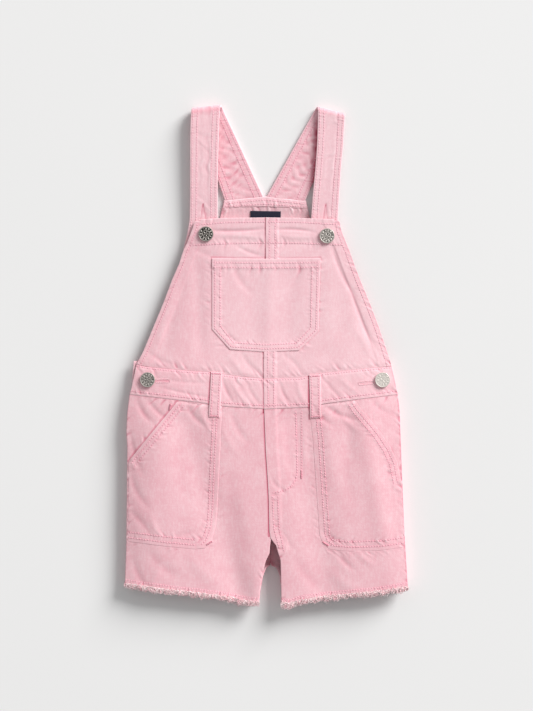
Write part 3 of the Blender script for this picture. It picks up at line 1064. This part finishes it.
def buttonHeight(radius, angle, turn):
    # Face of a jeans button: low rolled rim, ring of worn marks, a rope ring and a plain flower
    height = np.where(radius > 6.5, 0.38 * np.sqrt(np.clip(1 - ((radius - 7.0) / 0.52) ** 2, 0, 1)), 0.0)
    marks = np.cos(angle * button["marks"] + turn) > 0.0
    broken = np.cos(angle * 7 + 1.3) + np.cos(angle * 4 + turn) > -1.3
    ring = (radius > 4.3 + 0.5 * np.cos(angle * 5 + turn)) & (radius < 6.2) & marks & broken
    height = height + 0.42 * ring
    rope = bell(radius - 3.5, 0.26) * (0.3 + 0.1 * np.cos(angle * 22))
    petals = 0.42 * np.clip(np.cos(angle * 5 + turn), 0, 1) ** 1.5 * bell(radius - 1.8, 0.9)
    heart = 0.4 * np.clip(1 - radius / 0.75, 0, 1)
    return height + rope + petals + heart


def makeButton(key, across, down, level, turn, depth, dull):
    # Rings of points from the face over the rolled rim down to the shank
    count = button["sides"]
    radius = np.concatenate([np.linspace(0.02, 6.2, 32), np.linspace(6.3, 7.5, 10)])
    angle = np.linspace(0, 2 * np.pi, count, endpoint=False)
    r, a = radius[:, None], angle[None]
    face = buttonHeight(r, a + 0 * r, turn)
    patina = np.clip(1 - face / 0.3, 0, 1) * np.where(r < 6.2, 1, 0.6) + np.where(r < 6.2, 0, 0.3)
    patina = (patina - 0.5) * depth + 0.5
    face = face * depth
    top = button["height"] - 0.6
    rings = [(r * np.cos(a), r * np.sin(a), top + face)]
    shades = [patina]
    for rr, zz in ((7.5, top - 0.6), (7.1, top - 1.3), (3.4, top - 1.4), (3.2, -0.4)):
        rings.append((rr * np.cos(a), rr * np.sin(a), zz + 0 * a))
        shades.append(0.3 + 0 * a)
    local = np.stack([np.concatenate([ring[k] for ring in rings]) for k in range(3)], -1)
    shade = np.concatenate(shades)
    point, normal = onSurface(frontHeight, np.array([float(across)]), np.array([float(down)]))
    turnTo = np.array(Vector((0, 0, 1)).rotation_difference(Vector(normal[0])).to_matrix())
    points = local @ turnTo.T + point[0] + normal[0] * (level + 0.35)
    faces = gridFaces(len(local), count, wrap=True)
    item = makeMesh("button_" + key + "_nickel", points, faces, nickel, {"patina": shade + dull})
    place(item, ["button_" + key])


for key, spot in buttons.items():
    makeButton(key, *spot)
print("buttons made")


def barTack(name, evaluate, spots, width, seed):
    # Dense zigzag threads along short lines: bar tacks and buttonhole edges
    rng = np.random.default_rng(seed)
    paths, ups = [], []
    for (x0, y0), (x1, y1) in spots:
        length = math.hypot(x1 - x0, y1 - y0)
        count = max(3, int(length / 0.42))
        along = (np.arange(count) + 0.5) / count
        side = np.array([-(y1 - y0), x1 - x0]) / length * width / 2
        ends = np.linspace(-1, 1, 5)[None, :, None] * side * rng.uniform(0.85, 1.15, (count, 1, 1))
        centre = np.array([x0, y0]) + along[:, None] * np.array([x1 - x0, y1 - y0])
        places = centre[:, None] + ends
        point, normal = evaluate(places[..., 0], places[..., 1])
        arch = np.array([-0.3, 0.25, 0.4, 0.25, -0.3]) - (0.28 if width < 1.8 else 0.0)
        paths.append(point + normal * arch[None, :, None])
        ups.append(normal)
    paths, ups = np.concatenate(paths), np.concatenate(ups)
    radii = 0.22 * np.ones((len(paths), 5)) * rng.uniform(0.85, 1.15, (len(paths), 1))
    points, faces = tubes(paths, ups, radii, 5)
    shade = np.repeat(rng.uniform(0, 1, len(paths)), 25)
    yarn = paleYarn if name.startswith("buttonhole") else deepYarn
    place(makeMesh(name, points, faces, yarn, {"shade": shade}))


tacks = {
    "tacks_pocket_l": ("front_pocket_l", 2.0, [((171, 404), (169.6, 409.5)), ((212, 541), (206.5, 544.5))]),
    "tacks_pocket_r": ("front_pocket_r", 2.0, [((322.5, 541.5), (328.5, 545.5))]),
    "tacks_fly": ("front_leg_r", 2.0, [((301.2, 470), (301.2, 478.5))]),
    "tacks_loop_l": ("belt_loop_l", 1.6, [((211.6, 373.6), (221.4, 374)), ((209.6, 415.6), (219.2, 416.2))]),
    "tacks_loop_r": ("belt_loop_r", 1.6, [((309.8, 376.4), (319.6, 376)), ((310.8, 416.8), (320.4, 416))]),
    "buttonhole_waist_l": ("waistband_front_l", 1.5, [
        ((156, 379.6), (169, 379.3)), ((156, 382.6), (169, 382.6)), ((169.6, 379.4), (170.4, 382.4))]),
    "buttonhole_waist_r": ("waistband_front_r", 1.5, [
        ((359, 382), (373, 380.8)), ((359, 385.2), (373, 384)), ((358.2, 382.2), (358.4, 385))]),
}
for seed, (name, (cloth, width, spots)) in enumerate(tacks.items()):
    barTack(name, onTop(pieces[cloth]), spots, width, seed + 1)
print("tacks made")

# Floor, light and camera: places and size in metres, power in watts
lights = {
    "key": 5900.0, "keyColour": "#FFFEFD", "spot": (13.2, 12.8, 8.6), "size": 11.5, "world": 0.43,
    "floor": "#EEEEEE",
}
reach = 6.0
corners = [(-reach, -reach, 0), (reach, -reach, 0), (reach, reach, 0), (-reach, reach, 0)]
floorMesh = bpy.data.meshes.new("floor")
floorMesh.from_pydata(corners, [], [(0, 1, 2, 3)])
floor = addObject("floor", floorMesh)
floor.location.z = -0.0006
floorMaterial, floorTree, floorShader = newMaterial("pale_board")
spot = addNode(floorTree, "TexCoord", output="Object")
grain = addNode(floorTree, "TexNoise", {"Vector": spot, "Scale": 3.0, "Detail": 2.0, "Roughness": 0.5})
tints = {6: linear(lights["floor"]), 7: linear("#ECECEC")}
board = addNode(floorTree, "Mix", {0: grain, **tints}, 2, data_type="RGBA")
setInputs(floorTree, floorShader, {"Base Color": board, "Roughness": 0.95, "Specular IOR Level": 0.1})
floorMesh.materials.append(floorMaterial)

world = bpy.context.scene.world or bpy.data.worlds.new("studio")
bpy.context.scene.world = world
world.use_nodes = True
world.node_tree.nodes["Background"].inputs[0].default_value = (1, 1, 1, 1)
world.node_tree.nodes["Background"].inputs[1].default_value = lights["world"]


def areaLight(name, spot, size, power, colour):
    data = bpy.data.lights.new(name, "AREA")
    data.shape = "DISK"
    data.size = size
    data.energy = power
    data.color = linear(colour)[:3]
    lamp = addObject(name, data)
    lamp.location = spot
    lamp.rotation_mode = "QUATERNION"
    lamp.rotation_quaternion = (-Vector(spot)).to_track_quat("-Z", "Y")


areaLight("key_softbox", tuple(lights["spot"]), lights["size"], lights["key"], lights["keyColour"])

view = bpy.data.cameras.new("camera")
view.sensor_width = 36
view.lens = 36 * 2.99 / 0.711
camera = addObject("camera", view)
camera.location = (0.0005, -0.0015, 3.0)
view.clip_end = 20
bpy.context.scene.camera = camera
bpy.context.scene.view_settings.view_transform = "Standard"
print("stage made")
